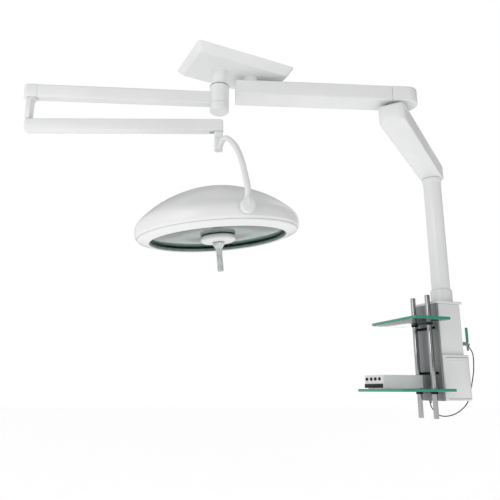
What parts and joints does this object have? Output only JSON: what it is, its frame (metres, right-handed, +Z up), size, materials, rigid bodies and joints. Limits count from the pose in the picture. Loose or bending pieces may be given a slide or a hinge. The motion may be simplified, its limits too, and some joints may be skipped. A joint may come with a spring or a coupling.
{
  "type": "ceiling-mounted operating light with equipment pendant",
  "caption": "Operating light on a swivelling extension and spring arm, sharing a ceiling mount with a two-arm equipment pendant that carries glass shelves.",
  "frame": {"origin": "centre of the anchor plate's flat top face, which lies against the ceiling", "axes": "+Z up, out of the anchor plate's top face; +X towards the pendant side, +Y away from the side the object is usually seen from"},
  "size_m": [2.2898, 1.4282, 1.653],
  "materials": {
    "white_enamel": "satin white enamel",
    "grey_anodised": "satin anodised",
    "polished_steel": "polished",
    "black_polymer": "matte black",
    "clear_glass": "clear, green at the edge",
    "mirror_reflector": "bright reflector",
    "soft_grip": "grey removable grip"
  },
  "bodies": {
    "mount": {"anchor_plate": "polished_steel", "ceiling_cover": "white_enamel", "light_column": "white_enamel", "beam_column": "white_enamel"},
    "light_arm": {"hub_bush": "polished_steel", "light_hub": "white_enamel", "spindle_nut": "polished_steel", "hub_cap": "white_enamel", "extension_arm": "white_enamel", "arm_end": "white_enamel", "hub_brake_screw": "black_polymer"},
    "spring_base": {"rear_knuckle": "white_enamel", "rear_pivot_pin": "polished_steel"},
    "spring_arm": {"spring_arm_shell": "white_enamel", "front_pivot_pin": "polished_steel", "spring_guide_rod": "polished_steel", "balance_spring": "polished_steel"},
    "front_knuckle": {"front_knuckle": "white_enamel"},
    "yoke": {"yoke_stem": "white_enamel", "bow_tube": "white_enamel", "bow_pivot_housing": "white_enamel"},
    "lamp": {"lamp_dome": "white_enamel", "lamp_rim": "white_enamel", "glass_gasket": "black_polymer", "front_glass": "clear_glass", "reflector": "mirror_reflector", "heat_filter": "clear_glass", "lamp_frame": "polished_steel", "pivot_shaft": "polished_steel"},
    "bulb_carriage": {"bulb_holder": "white_enamel", "bulb": "clear_glass"},
    "handle": {"focus_plate": "white_enamel", "handle_core": "polished_steel", "handle_grip": "soft_grip"},
    "beam": {"main_beam": "white_enamel", "beam_bearing": "polished_steel", "beam_elbow_end": "white_enamel"},
    "second_arm": {"second_arm": "white_enamel", "elbow_shaft": "grey_anodised"},
    "service_head": {"drop_tube": "white_enamel", "head_top_plate": "white_enamel", "service_column": "grey_anodised", "grey_side_panel": "grey_anodised", "upper_housing": "white_enamel", "lower_housing": "white_enamel", "right_side_panel": "white_enamel", "pole_near": "polished_steel", "pole_far": "polished_steel", "pole_bracket_upper": "black_polymer", "pole_bracket_lower": "black_polymer", "side_glass_tag": "clear_glass", "side_clip": "grey_anodised", "side_cable": "black_polymer"},
    "service_door": {"service_door": "white_enamel"},
    "upper_shelf": {"upper_glass_shelf": "clear_glass", "upper_shelf_clamp": "black_polymer"},
    "lower_shelf": {"lower_glass_shelf": "clear_glass", "lower_shelf_clamp": "black_polymer", "device_case": "white_enamel", "device_front": "black_polymer"}
  },
  "joints": [
    {"name": "light_arm_swivel", "type": "hinge", "parent": "mount", "child": "light_arm", "pos_m": [-0.07306, -0.03723, -0.18], "axis": [0, 0, 1], "range_deg": [-150, 150]},
    {"name": "spring_base_swivel", "type": "hinge", "parent": "light_arm", "child": "spring_base", "pos_m": [-0.92044, -0.10392, -0.26], "axis": [0, 0, 1], "range_deg": [-170, 170]},
    {"name": "spring_arm_tilt", "type": "hinge", "parent": "spring_base", "child": "spring_arm", "pos_m": [-0.92044, -0.10392, -0.352], "axis": [-0.0087, 1, 0], "range_deg": [-4, 50]},
    {"name": "front_knuckle_level", "type": "hinge", "parent": "spring_arm", "child": "front_knuckle", "pos_m": [-0.07047, -0.0965, -0.352], "axis": [-0.0087, 1, 0], "range_deg": [-50, 4]},
    {"name": "yoke_swivel", "type": "hinge", "parent": "front_knuckle", "child": "yoke", "pos_m": [-0.07047, -0.0965, -0.42], "axis": [0, 0, 1], "range_deg": [-175, 175]},
    {"name": "lamp_tilt", "type": "hinge", "parent": "yoke", "child": "lamp", "pos_m": [-0.07047, -0.0965, -0.824], "axis": [0.3578, -0.9321, -0.0558], "range_deg": [-60, 60]},
    {"name": "handle_turn", "type": "hinge", "parent": "lamp", "child": "handle", "pos_m": [-0.06653, -0.09225, -0.86963], "axis": [-0.0858, -0.0923, 0.992], "range_deg": [-40, 40]},
    {"name": "bulb_focus", "type": "slide", "parent": "lamp", "child": "bulb_carriage", "axis": [-0.0858, -0.0923, 0.992], "range_m": [-0.007, 0.007]},
    {"name": "beam_swivel", "type": "hinge", "parent": "mount", "child": "beam", "pos_m": [0.07306, 0.03723, -0.105], "axis": [0, 0, 1], "range_deg": [-95, 140]},
    {"name": "elbow_swivel", "type": "hinge", "parent": "beam", "child": "second_arm", "pos_m": [0.77807, 0.09024, -0.155], "axis": [0, 0, 1], "range_deg": [-140, 65]},
    {"name": "head_swivel", "type": "hinge", "parent": "second_arm", "child": "service_head", "pos_m": [1.18152, 0.79756, -0.26], "axis": [0, 0, 1], "range_deg": [-165, 165]},
    {"name": "door_fold", "type": "hinge", "parent": "service_head", "child": "service_door", "pos_m": [1.22248, 0.69967, -1.546], "axis": [0.9397, 0.342, 0], "range_deg": [0, 85]},
    {"name": "upper_shelf_height", "type": "slide", "parent": "service_head", "child": "upper_shelf", "axis": [0, 0, 1], "range_m": [-0.004, 0.1]},
    {"name": "lower_shelf_height", "type": "slide", "parent": "service_head", "child": "lower_shelf", "axis": [0, 0, 1], "range_m": [-0.1, 0.06]}
  ],
  "couplings": [
    {"joint": "front_knuckle_level", "follows": "spring_arm_tilt", "ratio": -1},
    {"joint": "bulb_focus", "follows": "handle_turn", "m_per_rad": 0.01}
  ]
}
